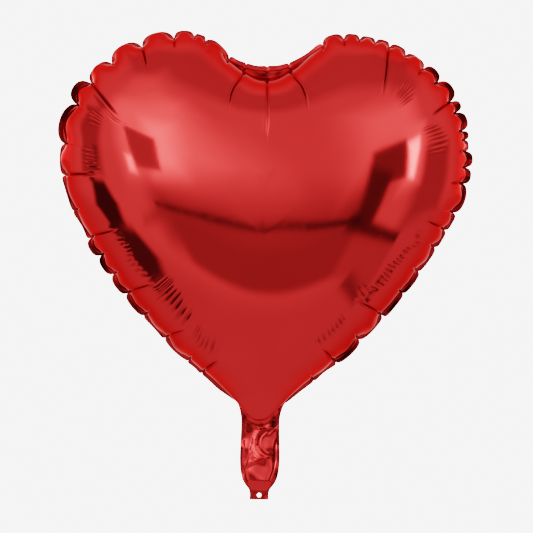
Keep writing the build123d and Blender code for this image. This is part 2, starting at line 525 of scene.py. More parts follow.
@dataclass
class Film:
    """One film of the balloon: domed heart, welded margin, neck and tail in a single sheet.

    Attributes:
        weld: the rim that both films share.
        side: front or rear.
        combs: this film's fine ridges.
    """

    weld: Weld
    side: Side
    combs: list[Comb]
    leaf_gap: float = 0.3 * MM
    # Rows of the mesh, measured along the film from the weld.
    fine_step: float = 1.7 * MM
    coarse_step: float = 7.5 * MM
    fine_until: float = 62 * MM
    coarse_from: float = 140 * MM
    inner_share: float = 0.04
    # Scallops between the creases.
    arch_fade: float = 14 * MM
    scallop_length: float = 16 * MM
    scallop_shortest: float = 18 * MM
    scallop_longest: float = 52 * MM
    # Creases.
    fold_width: float = 0.85 * MM
    fold_shade: float = 0.9
    notch_fold_light: float = 0.4
    shoulder_spread: float = 4.5
    shoulder_rise: float = 0.3
    # Rows of fine ridges.
    tooth: float = 5.0 * MM
    comb_end: float = 8 * MM
    comb_drift: float = 3 * MM
    comb_shade: float = 0.45
    # The web of film across the notch.
    cleft_reach: float = 28 * MM
    cleft_width: float = 4.6 * MM
    cleft_drop: float = 8.0 * MM
    web_middle: float = 7 * MM
    web_foot: float = 13 * MM
    web_crumple: float = 0.45 * MM
    # The chin above the neck.
    chin_swell: float = 4.5 * MM
    chin_drop: float = 6.0 * MM
    chin_calm: float = 0.85
    # The weld's own line, and how far from it the film still follows it.
    seam_lean: float = 2.3 * MM
    seam_pinch: float = 0.95
    seam_follow: float = 11 * MM
    broad_ripple: float = 0.03 * MM
    # The welded margin; its leans are in degrees to the rear.
    margin_width: float = 3.9 * MM
    margin_rows: int = 3
    least_lean: float = 38.0
    most_lean: float = 66.0
    forward_lean: float = -16.0
    notch_lean: float = 12.0
    neck_gap: float = 1.5 * MM

    def shares(self) -> Array:
        """Each row's share of the way from centre to weld, closest where the film turns back."""
        turn = np.linspace(math.pi / 2, 0.02, 4000)
        reach = np.sqrt(np.sin(turn))
        radius, crown = self.weld.rim[:, 0].max(), -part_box("front_foil_panel")[0].y
        climb = np.r_[0, np.cumsum((reach[1:] + reach[:-1]) / 2)]
        across, up = radius * reach, crown * climb / climb[-1]
        walked = np.r_[0, np.cumsum(np.hypot(np.diff(across), np.diff(up)))]
        rows = []
        place = 0.0
        while place < walked[-1] and np.interp(place, walked, reach) > self.inner_share:
            rows.append(np.interp(place, walked, reach))
            coarse = float(ramp(np.array(place), self.fine_until, self.coarse_from))
            place += self.fine_step + (self.coarse_step - self.fine_step) * coarse
        return np.array(rows)

    def moved_rows(self) -> Array:
        """Where along the weld each point starts from, by row and column."""
        return np.array([self.weld.swung(share) for share in self.shares()])

    def sheet(self) -> tuple[Array, Array]:
        """The domed part, row by row from the weld inward.

        Returns:
            Points by row and column, and each point's distance from the weld along the film.
        """
        weld, heart = self.weld, self.weld.heart
        share = self.shares()[:, None]
        rims = np.array([weld.rim_at(moved) for moved in self.moved_rows()])
        rim_x, rim_z = rims[..., 0], rims[..., 1]
        x = share * rim_x
        z = heart.centre_height + share * (rim_z - heart.centre_height)
        height = heart.depth(x, z, np.broadcast_to(share, x.shape), rim_x, rim_z)
        height[0] = 0.0
        base = np.stack([x, self.side.value * height, z], -1)
        hops = np.linalg.norm(np.diff(base, axis=0), axis=2)
        reached = np.concatenate([np.zeros((1, x.shape[1])), np.cumsum(hops, 0)])
        return base, reached

    def normals(self, base: Array) -> Array:
        """Outward normals of the smooth dome, turned flat outward over the first rows.

        Args:
            base: points of the smooth dome by row and column.

        Returns:
            One unit vector per point.
        """
        down = np.gradient(base, axis=0)
        along = np.roll(base, -1, 1) - np.roll(base, 1, 1)
        normal = unit(np.cross(along, down))
        normal = normal * np.sign((normal[..., 1] * self.side.value).mean())
        blend_in = ramp(np.arange(len(base), dtype=float), 0, 3)[:, None, None]
        return unit(normal * blend_in + self.weld.flat_outward()[None] * (1 - blend_in))

    def relief(self, reached: Array) -> tuple[Array, Array]:
        """Scallops, creases and combs.

        Args:
            reached: each point's distance from the weld along the film.

        Returns:
            How far each point stands off the smooth dome, and how deep in a fold's shade it lies.
        """
        draw = np.random.default_rng(self.weld.seed + (self.side is Side.REAR))
        scallops = self.scallops(reached, draw)
        creases, crease_shade = self.creased(draw)
        combs, comb_shade = self.combed(reached)
        return scallops + creases + combs, np.maximum(crease_shade, comb_shade)

    def scallops(self, reached: Array, draw: np.random.Generator) -> Array:
        """The swell between neighbouring creases: a round arch at the weld, softer further in.

        Args:
            reached: each point's distance from the weld along the film.
            draw: source of the scallops' uneven lengths.

        Returns:
            What they add to the film's height.
        """
        weld = self.weld
        number, across, widths = weld.scallop()
        soft = np.sin(math.pi * across) ** 2
        long = np.clip(0.9 * widths + self.scallop_length, self.scallop_shortest, self.scallop_longest)
        lengths = long * draw.uniform(0.8, 1.3, len(weld.places))[number]
        sharp = np.exp(-reached / self.arch_fade)
        level = 0.30 * sharp + 0.5 * (1 - sharp)
        shape = sharp * arch(across)[None] + (1 - sharp) * soft[None] - level
        held = fade(reached / lengths[None]) * ramp(reached, -3 * MM, 6 * MM)
        calm = 1 - 0.75 * weld.near_notch(self.cleft_reach)
        return (weld.fullness() * widths)[None] * shape * held * calm[None]

    def creased(self, draw: np.random.Generator) -> tuple[Array, Array]:
        """The sharp folds, each with a low shoulder on both sides.

        Args:
            draw: source of the rear film's own crease lengths.

        Returns:
            What they add to the film's height, and how deep in a fold's shade each point lies.
        """
        weld = self.weld
        share = self.shares()[:, None]
        moved = self.moved_rows()
        total = np.zeros_like(moved)
        shade = np.zeros_like(moved)
        for crease, place in zip(weld.creases, weld.places):
            span = np.interp(place, weld.s, weld.span)
            reach = crease.reach * (draw.uniform(0.6, 1.1) if self.side is Side.REAR else 1.0)
            gone = (1 - share) * span / reach
            foot = np.array([[np.interp(place, weld.s, row)] for row in moved])
            lateral = weld.apart(moved, foot) * share
            width = self.fold_width * (1.3 - 0.4 * np.clip(gone, 0, 1))
            fold = np.exp(-(abs(lateral) / width) ** 1.2)
            shoulder = bump(lateral, self.shoulder_spread * width)
            kept = fade(gone ** 4)
            total = total + crease.depth * kept * (self.shoulder_rise * shoulder - fold)
            light = self.notch_fold_light * bump(weld.apart(place, 0.0), self.cleft_reach)
            shade = np.maximum(shade, self.fold_shade * (1 - light) * fold ** 0.7 * kept)
        return total, shade

    def combed(self, reached: Array) -> tuple[Array, Array]:
        """The rows of fine short ridges.

        Args:
            reached: each point's distance from the weld along the film.

        Returns:
            What they add to the film's height, and how deep in a fold's shade each point lies.
        """
        weld = self.weld
        total = np.zeros_like(reached)
        shade = np.zeros_like(reached)
        for comb, (low, high) in zip(self.combs, self.spans()):
            inset = comb.inset + comb.slant * np.clip((weld.s - low) / (high - low), 0, 1)
            window = ramp(weld.s, low, low + self.comb_end) * (1 - ramp(weld.s, high - self.comb_end, high))
            wobble = Ripple(weld.seed + int(comb.start), 40 * MM).along(weld.s)
            turn = 2 * math.pi * (weld.s - low) / self.tooth + 0.9 * wobble
            teeth = 1 - 2 * np.abs(np.sin(turn / 2)) ** 0.8
            drift = self.comb_drift * Ripple(weld.seed + 50 + int(comb.start), 60 * MM).along(weld.s)
            row = window[None] * bump(reached - film_reach(inset) - drift[None], 0.9 * comb.length)
            total = total + comb.height * teeth[None] * row
            shade = np.maximum(shade, self.comb_shade * row * np.clip(-teeth, 0, 1)[None])
        return total, shade

    def spans(self) -> list[tuple[float, float]]:
        """Where this film's combs start and end along the weld."""
        angles, s = self.weld.angle, self.weld.s
        return [tuple(np.interp([c.start, c.end], angles, s)) for c in self.combs]

    def seam_shift(self) -> Array:
        """How far the weld itself is pushed off its smooth line, the same for both films."""
        weld = self.weld
        number, across, widths = weld.scallop()
        draw = np.random.default_rng(weld.seed + 7)
        lean = draw.uniform(-1, 1, len(weld.places))[number] * np.sin(math.pi * across)
        lean = lean + 0.5 * Ripple(weld.seed + 3, 0.16).along(weld.s)
        notch = weld.near_notch(30 * MM)
        cusp = (1 - arch(across)) ** 1.5
        bulge = weld.fullness() * widths * (0.3 - self.seam_pinch * cusp) * (1 - notch)
        shift = (bulge - 0.5 * MM * abs(lean))[:, None] * weld.flat_outward()
        shift[:, 1] = self.seam_lean * lean * (1 - 0.7 * notch)
        return shift

    def forward(self) -> Array:
        """How much wider the margin grows where it folds forward into sight, column by column."""
        weld = self.weld
        number, across, _ = weld.scallop()
        starts = np.interp(weld.places, weld.s, weld.angle)
        grown = np.zeros(len(weld.places))
        for place, amount in FORWARD_CELLS.items():
            grown[np.searchsorted(starts, place) - 1] = amount
        return grown[number] * np.sqrt(arch(across))

    def margin_lean(self) -> Array:
        """Angle in radians by which the welded margin leans to the rear, column by column."""
        weld = self.weld
        number, across, _ = weld.scallop()
        draw = np.random.default_rng(weld.seed + 9)
        turned = draw.uniform(self.least_lean, self.most_lean, len(weld.places))[number]
        turned = np.where(self.forward() > 0, self.forward_lean, turned)
        lean = turned * np.sin(math.pi * across) ** 0.6
        lean = lean + 5 * Ripple(weld.seed + 4, 0.09).along(weld.s)
        notch = weld.near_notch(45 * MM)
        return np.radians(lean * (1 - notch) + self.notch_lean * notch)

    def margin_shade(self) -> Array:
        """How dark the margin lies in the film's own shade, by row and column."""
        rows = (np.arange(1, self.margin_rows + 1) / self.margin_rows)[:, None]
        shade = 0.35 + 0.25 * rows + 0.5 * (self.forward() > 0)[None] * (self.side is Side.FRONT)
        return np.clip(shade * (1 - self.neck_share())[None], 0, 0.9)

    def neck_share(self) -> Array:
        """1 in the middle of the neck's columns, 0 at its sides and beyond."""
        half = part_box("tail_front_foil")[1].x
        x = self.weld.rim[:, 0]
        low = self.weld.rim[:, 1] < NECK_TOP
        return np.where(low, np.clip(1 - (x / (half + 2 * MM)) ** 2, 0, 1), 0.0)

    def heart_rows(self) -> tuple[Array, Array]:
        """The domed part with all its relief.

        Returns:
            Points by row and column from the weld inward, and how deep in shade each lies.
        """
        base, reached = self.sheet()
        relief, shade = self.relief(reached)
        neck = self.neck_share()[None] * fade(reached / (30 * MM))
        relief = relief * (1 - self.chin_calm * neck)
        shade = shade * (1 - neck)
        broad = Ripple(self.weld.seed + 21 * (2 + self.side.value), 0.16)
        band = ramp(reached, 8 * MM, 40 * MM)
        relief = relief + self.broad_ripple * broad.across(base[..., 0], base[..., 2]) * band
        swell, droop = self.chin(reached)
        points = base + self.normals(base) * (relief + swell)[..., None]
        points = points + self.seam_shift()[None] * bump(reached, self.seam_follow)[..., None]
        web_down, web_forward, web_shade = self.web(reached)
        apart = (self.leaf_gap + self.neck_opening())[None] * bump(reached, 5 * MM)
        points[..., 1] += self.side.value * (web_forward + apart)
        points[..., 2] -= droop + web_down
        return points, np.maximum(shade, web_shade)

    def chin(self, reached: Array) -> tuple[Array, Array]:
        """The rounded chin that hangs over the neck.

        Args:
            reached: each point's distance from the weld along the film.

        Returns:
            How far each point swells outward, and how far it hangs down.
        """
        weld = self.weld
        tip = weld.apart(weld.s, weld.length / 2)
        start = ramp(reached, 0, 6 * MM)
        swell = bump(tip, 30 * MM)[None] * bump(reached - 15 * MM, 13 * MM) * start
        droop = bump(tip - 3 * MM, 19 * MM)[None] * bump(reached - 13 * MM, 9 * MM) * start
        return self.chin_swell * swell, self.chin_drop * droop

    def web(self, reached: Array) -> tuple[Array, Array, Array]:
        """The crumpled web of film across the notch, between the weld and the domed part.

        Args:
            reached: each point's distance from the weld along the film.

        Returns:
            How far each point drops, how far it is crumpled forward, and how deep in shade it lies.
        """
        weld = self.weld
        along = np.broadcast_to(weld.apart(weld.s, 0.0), reached.shape)
        cleft = bump(along, self.cleft_reach)
        drop = cleft * ramp(reached, 0.5 * MM, 12 * MM) * fade((reached - 25 * MM) / (85 * MM))
        inside = cleft ** 0.5 * bump(reached - self.web_middle, 6 * MM)
        crumple = Ripple(weld.seed + 31, 15 * MM, 12).across(along, reached * 1.6)
        patches = Ripple(weld.seed + 33, 26 * MM, 9).across(along, reached)
        foot = cleft ** 0.4 * bump(reached - self.web_foot, 1.9 * MM)
        shade = np.maximum(inside * np.clip(0.5 + 0.45 * patches, 0.1, 0.9), 0.8 * foot)
        return self.cleft_drop * drop, self.web_crumple * inside * crumple, shade

    def neck_opening(self) -> Array:
        """How far the films stand apart along the neck, column by column."""
        return self.neck_gap * self.neck_share()

    def margin(self, seam: Array, offset: float, shares: Array) -> Array:
        """Rows of the welded margin, outward from the weld.

        Args:
            seam: the weld's points, one per column, with no gap between the films.
            offset: distance of this surface from the middle of the weld.
            shares: how far out each row lies, as a share of the margin's width.

        Returns:
            Points by row and column.
        """
        outward = self.weld.flat_outward()
        rearward = np.array([0.0, 1.0, 0.0])
        clear = 1 - ramp(self.neck_share(), 0.0, 0.25)
        lean = self.margin_lean() * clear
        cleft = self.weld.near_notch(self.cleft_reach)
        width = self.margin_width * (1 + self.forward()) * (1 - cleft) + self.cleft_width * cleft
        width = (width * clear + self.margin_width * (1 - clear))[:, None]
        opening = self.neck_opening() if offset > self.leaf_gap / 2 else 0.0
        rows = []
        place = seam.copy()
        last = 0.0
        for share in shares:
            turned = lean * (0.55 + 0.45 * (share + last) / 2)
            cosine, sine = np.cos(turned)[:, None], np.sin(turned)[:, None]
            place = place + (share - last) * width * (cosine * outward + sine * rearward)
            last = share
            edge = 1 - 0.6 * float(share > 0.99) * (1 - ramp(self.neck_share(), 0.0, 0.2))
            gap = ((offset + opening) * self.side.value * edge)[:, None]
            rows.append(place + gap * (cosine * rearward - sine * outward))
        return np.array(rows)

    def seam(self, rows: Array) -> Array:
        """The weld's own line, midway between the films."""
        middle = rows[0].copy()
        middle[:, 1] -= self.side.value * (self.leaf_gap + self.neck_opening())
        return middle


@dataclass
class Tail:
    """The flat filling tail below the heart, from the neck to the tab with its tie hole.

    Attributes:
        outline: half the tail's width at distances below the fold.
        tucks: painted shade of pockets and tucks in the film, as place across, distance below the fold,
            width, height and depth of shade.
    """

    gap: float = 0.45 * MM
    seal_width: float = 4 * MM
    swell: float = 4.0 * MM
    hole_radius: float = 2.2 * MM
    hole_rise: float = 4 * MM
    neck_rows: int = 16
    tail_rows: int = 130
    outline: tuple[tuple[float, float], ...] = (
        (0 * MM, 17.6 * MM),
        (7 * MM, 17.8 * MM),
        (17 * MM, 18.1 * MM),
        (31 * MM, 18.4 * MM),
        (40 * MM, 17.9 * MM),
        (46 * MM, 16.9 * MM),
        (51 * MM, 15.2 * MM),
        (55.5 * MM, 12.4 * MM),
        (58.5 * MM, 10.0 * MM),
        (62 * MM, 8.8 * MM),
        (69 * MM, 8.8 * MM),
    )
    tucks: tuple[tuple[float, float, float, float, float], ...] = (
        (-15 * MM, -8 * MM, 3.4 * MM, 4.5 * MM, 0.9),
        (12 * MM, -3 * MM, 3.0 * MM, 7 * MM, 0.9),
        (-3 * MM, 1.5 * MM, 12 * MM, 4.0 * MM, 0.6),
        (-11 * MM, 5 * MM, 5 * MM, 1.6 * MM, 0.6),
        (17 * MM, 46 * MM, 2.6 * MM, 7 * MM, 0.9),
        (16 * MM, 12 * MM, 1.2 * MM, 9 * MM, 0.6),
        (-17 * MM, 22 * MM, 1.4 * MM, 3 * MM, 0.6),
    )
    # The wave of the whole tail, the film's own ripple, and the gathers at the fold.
    wave: float = 1.0 * MM
    ripple: float = 0.1 * MM
    gather: float = 0.4 * MM
    gather_pitch: float = 9.5 * MM
    # The valve's curved welds where they print through: middle, two radii and height.
    print_x: float = 11 * MM
    print_drop: float = 16 * MM
    print_inner: float = 10.2 * MM
    print_outer: float = 13.6 * MM
    print_height: float = 0.36 * MM
    patch_tilt: float = 2.1 * MM
    crease_drop: float = 0.3 * MM
    crease_gap: float = 0.6 * MM
    seed: int = 5

    def __post_init__(self) -> None:
        """Reads the tail's place from the frame."""
        low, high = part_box("tail_front_foil")
        self.crease = high.z + self.crease_drop
        self.bottom = low.z
        self.half = high.x

    def half_width(self, z: Array) -> Array:
        """Half the tail's width at each height: gathered at the fold, then full, then the tab."""
        drop, half = np.array(self.outline).T
        place = np.clip(self.crease - z, 0, drop[-1])
        slopes = np.gradient(half, drop)
        k = np.clip(np.searchsorted(drop, place, side="right") - 1, 0, len(drop) - 2)
        span = drop[k + 1] - drop[k]
        t = (place - drop[k]) / span
        start = (1 + 2 * t) * (1 - t) ** 2 * half[k] + t * (1 - t) ** 2 * span * slopes[k]
        end = t * t * (3 - 2 * t) * half[k + 1] + t * t * (t - 1) * span * slopes[k + 1]
        return start + end

    def middle(self, x: Array, z: Array) -> Array:
        """How far the tail's middle surface waves off its plane."""
        wave = Ripple(self.seed, 42 * MM).across(x * 0.6, z)
        free = ramp(self.crease - z, 5 * MM, 22 * MM)
        return self.wave * wave * free * (0.25 + 0.75 * (x / self.half) ** 2)

    def stand_off(self, x: Array, z: Array, side: Side) -> Array:
        """How far one film of the tail stands off the middle surface.

        Args:
            x: place across the tail.
            z: height of each point.
            side: which film it is.

        Returns:
            The distance, always above 0.
        """
        drop = self.crease - z
        swelling_half = self.half_width(z) - self.seal_width + 1.8 * MM
        inside = np.clip(1 - (np.abs(x) / swelling_half) ** 4, 0, 1)
        full = np.clip((drop + 6 * MM) / (58 * MM), 0.06, 1) * (1 - 0.97 * ramp(drop, 50 * MM, 61 * MM))
        broad = Ripple(self.seed + 3 + side.value, 46 * MM, 7)
        fine = Ripple(self.seed + 8 + side.value, 5 * MM, 14)
        loose = ramp(inside, 0, 0.35) * ramp(drop, -8 * MM, 3 * MM)
        total = self.swell * inside ** 0.8 * full + self.ripple * broad.across(x, z * 0.6) * loose
        if side is Side.FRONT:
            total = total + self.valve_print(x, drop, fine.across(x, z * 0.8))
        gather = np.cos(2 * math.pi * x / self.gather_pitch + 1.8 * broad.across(x, z * 0.4))
        total = total + self.gather * gather * bump(drop + 1 * MM, 5 * MM) * ramp(inside, 0, 0.3)
        return np.maximum(total, 0.05 * MM)

    def print_arc(self, x: Array, drop: Array) -> tuple[Array, Array]:
        """Polar place about the middle of the valve's curved welds.

        Args:
            x: place across the tail.
            drop: distance below the fold.

        Returns:
            Distance from that middle, and 1 at the bearings that the curved welds span.
        """
        right, down = self.print_x - x, drop - self.print_drop
        about = np.degrees(np.arctan2(down, right))
        return np.hypot(right, down), (1 - ramp(about, 66, 86)) * ramp(about, -72, -52)

    def valve_print(self, x: Array, drop: Array, rough: Array) -> Array:
        """How the valve's curved welds show through the film.

        Args:
            x: place across the tail.
            drop: distance below the fold.
            rough: fine noise for the crinkled film beside the weld.

        Returns:
            What they add to the film's height: a double ridge, and a tilted patch beside it.
        """
        away, on_arc = self.print_arc(x, drop)
        slanted = (x - 13.5 * MM) + 1.05 * (drop - 3.5 * MM)
        ends = ramp(drop, -2 * MM, 1 * MM) * (1 - ramp(drop, 7 * MM, 10 * MM))
        upper = bump(0.69 * slanted, 0.75 * MM) * ends
        ridges = (bump(away - self.print_inner, 0.8 * MM) + bump(away - self.print_outer, 0.8 * MM)) * on_arc
        left = (x + 7 * MM) * 0.98 + (drop - 8 * MM) * 0.18
        low = (39 * MM - drop) * 0.87 - (x + 12.3 * MM) * 0.5
        outside = away - self.print_outer - 0.8 * MM
        inside = np.minimum(np.minimum(left, low), np.minimum(outside, drop - 3 * MM))
        patch = ramp(inside, -1.2 * MM, 1.6 * MM)
        tilted = self.patch_tilt * np.clip(left / (12 * MM), 0, 1) + 0.03 * (drop - 8 * MM)
        return self.print_height * (ridges + 0.8 * upper) + patch * (tilted + 0.05 * MM * rough)

    def shade(self, x: Array, z: Array, side: Side) -> Array:
        """How deep in shade the tail's film lies: pockets at the neck, tucks at the sides.

        Args:
            x: place across the tail.
            z: height of each point.
            side: which film it is.

        Returns:
            The shade, 0 to 1.
        """
        drop = self.crease - z
        rough = Ripple(self.seed + 12, 9 * MM, 9).across(x, z)
        # Painted shade along both edges of the tail.
        total = 0.75 * bump(np.abs(np.abs(x) / self.half_width(z) - 1) * self.half, 0.9 * MM)
        for spot_x, spot_drop, wide, tall, depth in self.tucks:
            spot = bump(x - spot_x, wide) * bump(drop - spot_drop, tall)
            total = np.maximum(total, depth * spot * (1 + 0.35 * rough))
        # Painted shade between the valve's two curved welds where they print through.
        if side is Side.FRONT:
            away, on_arc = self.print_arc(x, drop)
            between = (self.print_inner + self.print_outer) / 2
            total = np.maximum(total, 0.55 * bump(away - between, 0.9 * MM) * on_arc)
        return np.clip(total, 0, 0.97)

    def rows(self, edge: Array, side: Side) -> Array:
        """The tail's film below the neck's edge.

        Args:
            edge: points of the margin's outer edge across the neck, from right to left.
            side: which film it is.

        Returns:
            Points by row and column; the first row is one step below the edge.
        """
        share = edge[:, 0] / edge[:, 0].max()
        fold_x = share * float(self.half_width(np.array(self.crease)))
        made = []
        for row in range(1, self.neck_rows + 1):
            t = row / self.neck_rows
            x = edge[:, 0] + (fold_x - edge[:, 0]) * (1 - (1 - t) ** 2.4)
            z = edge[:, 2] + (self.crease - edge[:, 2]) * t
            y = self.middle(x, z) + side.value * (self.gap + self.stand_off(x, z, side))
            made.append(np.c_[x, edge[:, 1] * (1 - t) ** 2 + y * (1 - (1 - t) ** 2), z])
        length = self.crease - self.bottom
        open_side = 1 - 0.7 * (np.abs(share) > 0.999)
        for row in range(1, self.tail_rows + 1):
            t = row / self.tail_rows
            z = np.full(len(share), self.crease - length * (1.12 * t - 0.12 * t ** 3))
            x = share * self.half_width(z)
            y = self.middle(x, z) + side.value * (self.gap + self.stand_off(x, z, side)) * open_side
            made.append(np.c_[x, y, z])
        return np.array(made)

    def hole_distance(self, points: Array) -> Array:
        """Distance from the tie hole's axis."""
        return np.hypot(points[..., 0], points[..., 2] - self.bottom - self.hole_rise)


class Sheet:
    """Collects rows of points and faces and turns them into one smooth mesh piece."""

    def __init__(self) -> None:
        """Starts empty."""
        self.points: list[Array] = []
        self.masks: list[Array] = []
        self.shades: list[Array] = []
        self.faces: list[list[int]] = []
        self.count = 0

    def add(self, rows: Array, mask: float = 0.0, shade: Array | float = 0.0) -> Array:
        """Adds a grid of points.

        Args:
            rows: points by row and column.
            mask: 1 where the film is welded, 0 where it is free.
            shade: how deep in a fold's shade each point lies, 0 to 1.

        Returns:
            The points' numbers by row and column.
        """
        flat = rows.reshape(-1, 3)
        numbers = np.arange(self.count, self.count + len(flat)).reshape(rows.shape[:-1])
        self.points.append(flat)
        self.masks.append(np.full(len(flat), mask))
        self.shades.append(np.broadcast_to(shade, rows.shape[:-1]).reshape(-1))
        self.count += len(flat)
        return numbers

    def skin(self, numbers: Array, closed: bool = False, left_out: Array | None = None) -> None:
        """Joins neighbouring rows and columns with four-sided faces.

        Args:
            numbers: point numbers by row and column.
            closed: whether the last column meets the first.
            left_out: True at points inside a hole; a face of only such points is left out.
        """
        def corners(grid: Array) -> Array:
            """Each face's four corners, as a row of the grid's own entries."""
            right = np.roll(grid, -1, 1)
            quads = np.stack([grid[:-1], right[:-1], right[1:], grid[1:]], -1)
            return (quads if closed else quads[:, :-1]).reshape(-1, 4)

        quads = corners(numbers)
        if left_out is not None:
            quads = quads[~corners(left_out).all(-1)]
        self.faces += quads.tolist()

    def fan(self, ring: Array, centre: int) -> None:
        """Closes a ring of points with triangles that meet at a centre point."""
        for here, there in zip(ring.tolist(), np.roll(ring, -1).tolist()):
            self.faces.append([here, there, centre])

    def layer(self, front: Array, rear: Array) -> None:
        """A thin closed layer between two grids of points, open nowhere.

        Args:
            front: points of its front face by row and column.
            rear: points of its rear face, in the same order.
        """
        numbers = self.add(np.concatenate([front, rear[::-1]]))
        self.skin(np.concatenate([numbers, numbers[:1]]))
        for end in (0, -1):
            ring = numbers[:, end].tolist()
            for k in range(len(ring) // 2 - 1):
                self.faces.append([ring[k], ring[k + 1], ring[-2 - k], ring[-1 - k]])

    def finish(self, name: str, outward: tuple[float, float, float] | None = None) -> bpy.types.Object:
        """Makes the piece.

        Args:
            name: the piece's name.
            outward: for an open sheet, the way its outer face mostly looks.

        Returns:
            The new object, smooth shaded, with point attributes "welded" and "shade".
        """
        mesh = bpy.data.meshes.new(name)
        mesh.from_pydata(np.concatenate(self.points).tolist(), [], self.faces)
        for label, values in (("welded", self.masks), ("shade", self.shades)):
            attribute = mesh.attributes.new(label, "FLOAT", "POINT")
            attribute.data.foreach_set("value", np.concatenate(values))
        work = bmesh.new()
        work.from_mesh(mesh)
        bmesh.ops.delete(work, geom=[v for v in work.verts if not v.link_faces], context="VERTS")
        bmesh.ops.recalc_face_normals(work, faces=work.faces)
        if outward is not None:
            faced = sum((f.normal * f.calc_area() for f in work.faces), Vector())
            if faced.dot(Vector(outward)) < 0:
                bmesh.ops.reverse_faces(work, faces=work.faces)
        work.to_mesh(mesh)
        work.free()
        mesh.shade_smooth()
        piece = bpy.data.objects.new(name, mesh)
        bpy.context.scene.collection.objects.link(piece)
        LOG.info("%s: %d faces", name, len(mesh.polygons))
        return piece


class Value:
    """A shader socket that ordinary arithmetic works on."""

    def __init__(self, nodes: "Nodes", socket: bpy.types.NodeSocket) -> None:
        """Wraps one output socket of a node tree."""
        self.nodes = nodes
        self.socket = socket

    def math(self, operation: str, *others: "Value | float",
             first: "Value | float | None" = None) -> "Value":
        """Adds a Math node.

        Args:
            operation: the node's operation.
            others: what goes into the sockets after the first.
            first: what goes into the first socket, this value if left out.

        Returns:
            The node's result.
        """
        inputs = dict(enumerate([self if first is None else first, *others]))
        return self.nodes.value("ShaderNodeMath", {"operation": operation}, inputs)

    def __add__(self, other: "Value | float") -> "Value":
        """Sum."""
        return self.math("ADD", other)

    __radd__ = __add__

    def __sub__(self, other: "Value | float") -> "Value":
        """Difference."""
        return self.math("SUBTRACT", other)

    def __rsub__(self, other: float) -> "Value":
        """Difference from a number."""
        return self.math("SUBTRACT", self, first=other)

    def __mul__(self, other: "Value | float") -> "Value":
        """Product."""
        return self.math("MULTIPLY", other)

    __rmul__ = __mul__

    def __truediv__(self, other: "Value | float") -> "Value":
        """Quotient."""
        return self.math("DIVIDE", other)

    def __rtruediv__(self, other: float) -> "Value":
        """A number divided by this."""
        return self.math("DIVIDE", self, first=other)

    def __pow__(self, other: float) -> "Value":
        """Power."""
        return self.math("POWER", other)

    def least(self, other: "Value | float") -> "Value":
        """The smaller of the two."""
        return self.math("MINIMUM", other)

    def step(self, low: float, high: float) -> "Value":
        """A smooth rise from 0 at low to 1 at high."""
        return self.nodes.value("ShaderNodeMapRange", {"interpolation_type": "SMOOTHSTEP"},
                                {"Value": self, "From Min": low, "From Max": high})


class Nodes:
    """A node tree that is filled from Python expressions."""

    def __init__(self, tree: bpy.types.NodeTree) -> None:
        """Empties the tree."""
        self.tree = tree
        tree.nodes.clear()

    def add(self, kind: str, settings: dict[str, object] | None = None,
            sockets: dict[str | int, object] | None = None) -> bpy.types.Node:
        """Adds a node.

        Args:
            kind: the node's type.
            settings: its properties.
            sockets: values or links by socket name or number.

        Returns:
            The node.
        """
        node = self.tree.nodes.new(kind)
        for name, setting in (settings or {}).items():
            setattr(node, name, setting)
        for name, given in (sockets or {}).items():
            if isinstance(given, Value):
                self.tree.links.new(given.socket, node.inputs[name])
            else:
                node.inputs[name].default_value = given
        return node

    def value(self, kind: str, settings: dict[str, object] | None = None,
              sockets: dict[str | int, object] | None = None, output: str | int = 0) -> Value:
        """Adds a node and wraps one of its outputs.

        Args:
            kind: the node's type.
            settings: its properties.
            sockets: values or links by socket name or number.
            output: the output's name or number.

        Returns:
            The wrapped output.
        """
        return Value(self, self.add(kind, settings, sockets).outputs[output])

    def attribute(self, name: str) -> Value:
        """A number stored on the mesh's points."""
        return self.value("ShaderNodeAttribute", {"attribute_name": name}, output="Fac")

    def mix(self, share: Value, first: Colour | Value, second: Colour | Value) -> Value:
        """Mixes two colours, the first at share 0."""
        return self.value("ShaderNodeMix", {"data_type": "RGBA"}, {0: share, 6: first, 7: second}, 2)

    def place(self) -> Value:
        """Place on the object in metres."""
        return self.value("ShaderNodeTexCoord", output="Object")

    def stretched(self, place: Value, scale: tuple[float, float, float]) -> Value:
        """A place with each axis scaled."""
        return self.value("ShaderNodeVectorMath", {"operation": "MULTIPLY"}, {0: place, 1: scale})

    def noise(self, place: Value, scale: float, detail: float = 2.0, rough: float = 0.5) -> Value:
        """Smooth noise, 0 to 1.

        Args:
            place: where to read it.
            scale: patches in a metre.
            detail: octaves.
            rough: strength of the finer octaves.

        Returns:
            The noise.
        """
        sockets = {"Vector": place, "Scale": scale, "Detail": detail, "Roughness": rough}
        return self.value("ShaderNodeTexNoise", {}, sockets, "Fac")

    def bands(self, place: Value, direction: str, pitch: float, distortion: float) -> Value:
        """Parallel ribs, 0 to 1.

        Args:
            place: where to read them.
            direction: the way across them.
            pitch: distance from one to the next.
            distortion: how uneven they are.

        Returns:
            The ribs' height.
        """
        settings = {"wave_type": "BANDS", "bands_direction": direction}
        scale = BANDS_IN_A_METRE / pitch
        sockets = {"Vector": place, "Scale": scale, "Distortion": distortion, "Detail": 1.0}
        return self.value("ShaderNodeTexWave", settings, sockets, "Fac")

    def bumped(self, height: Value, distance: float, strength: float = 1.0) -> Value:
        """A normal from a height, for heights of 0 to 1 over a distance in metres."""
        sockets = {"Height": height, "Distance": distance, "Strength": strength}
        return self.value("ShaderNodeBump", {}, sockets, "Normal")

    def surface(self, sockets: dict[str | int, object]) -> None:
        """Ends the tree in one Principled shader."""
        shader = self.value("ShaderNodeBsdfPrincipled", {}, sockets)
        self.add("ShaderNodeOutputMaterial", {}, {"Surface": shader})


def new_material(name: str) -> tuple[bpy.types.Material, Nodes]:
    """A new material and its empty node tree."""
    material = bpy.data.materials.new(name)
    material.use_nodes = True
    return material, Nodes(material.node_tree)


